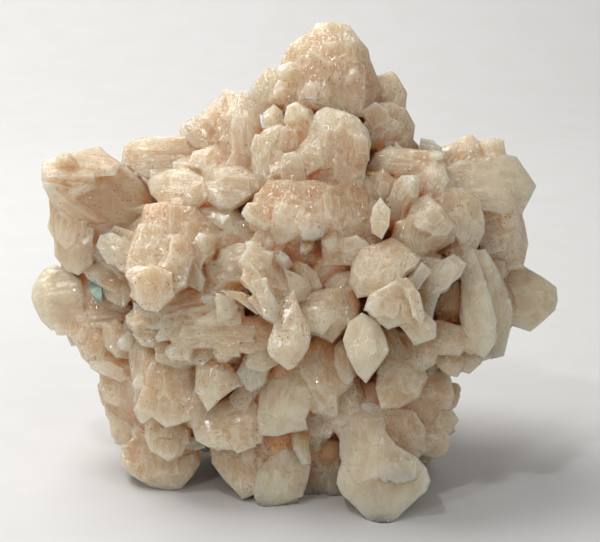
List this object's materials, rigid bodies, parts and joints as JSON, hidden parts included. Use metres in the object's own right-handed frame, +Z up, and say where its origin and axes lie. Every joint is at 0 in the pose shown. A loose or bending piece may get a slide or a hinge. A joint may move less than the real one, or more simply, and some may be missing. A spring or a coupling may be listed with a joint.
{
  "type": "mineral specimen",
  "caption": "Cluster of cream and peach stilbite crystals grown together in flat tablets and blades, with one small green crystal in a hollow; stands on a flat underside.",
  "frame": {"origin": "on the flat underside that the cluster stands on, below the middle of its width as seen from the front", "axes": "+Z up, -Y out of the face that the picture shows, +X to the right as seen by someone who faces that side"},
  "size_m": [0.1352, 0.0967, 0.1131],
  "materials": {
    "stilbite": "milky, slightly translucent crystal with pearly and glassy faces",
    "green_mineral": "dull blue-green crystal with a slight gloss"
  },
  "bodies": {
    "root": {"stilbite_cluster": "stilbite", "green_crystal": "green_mineral"}
  },
  "joints": []
}
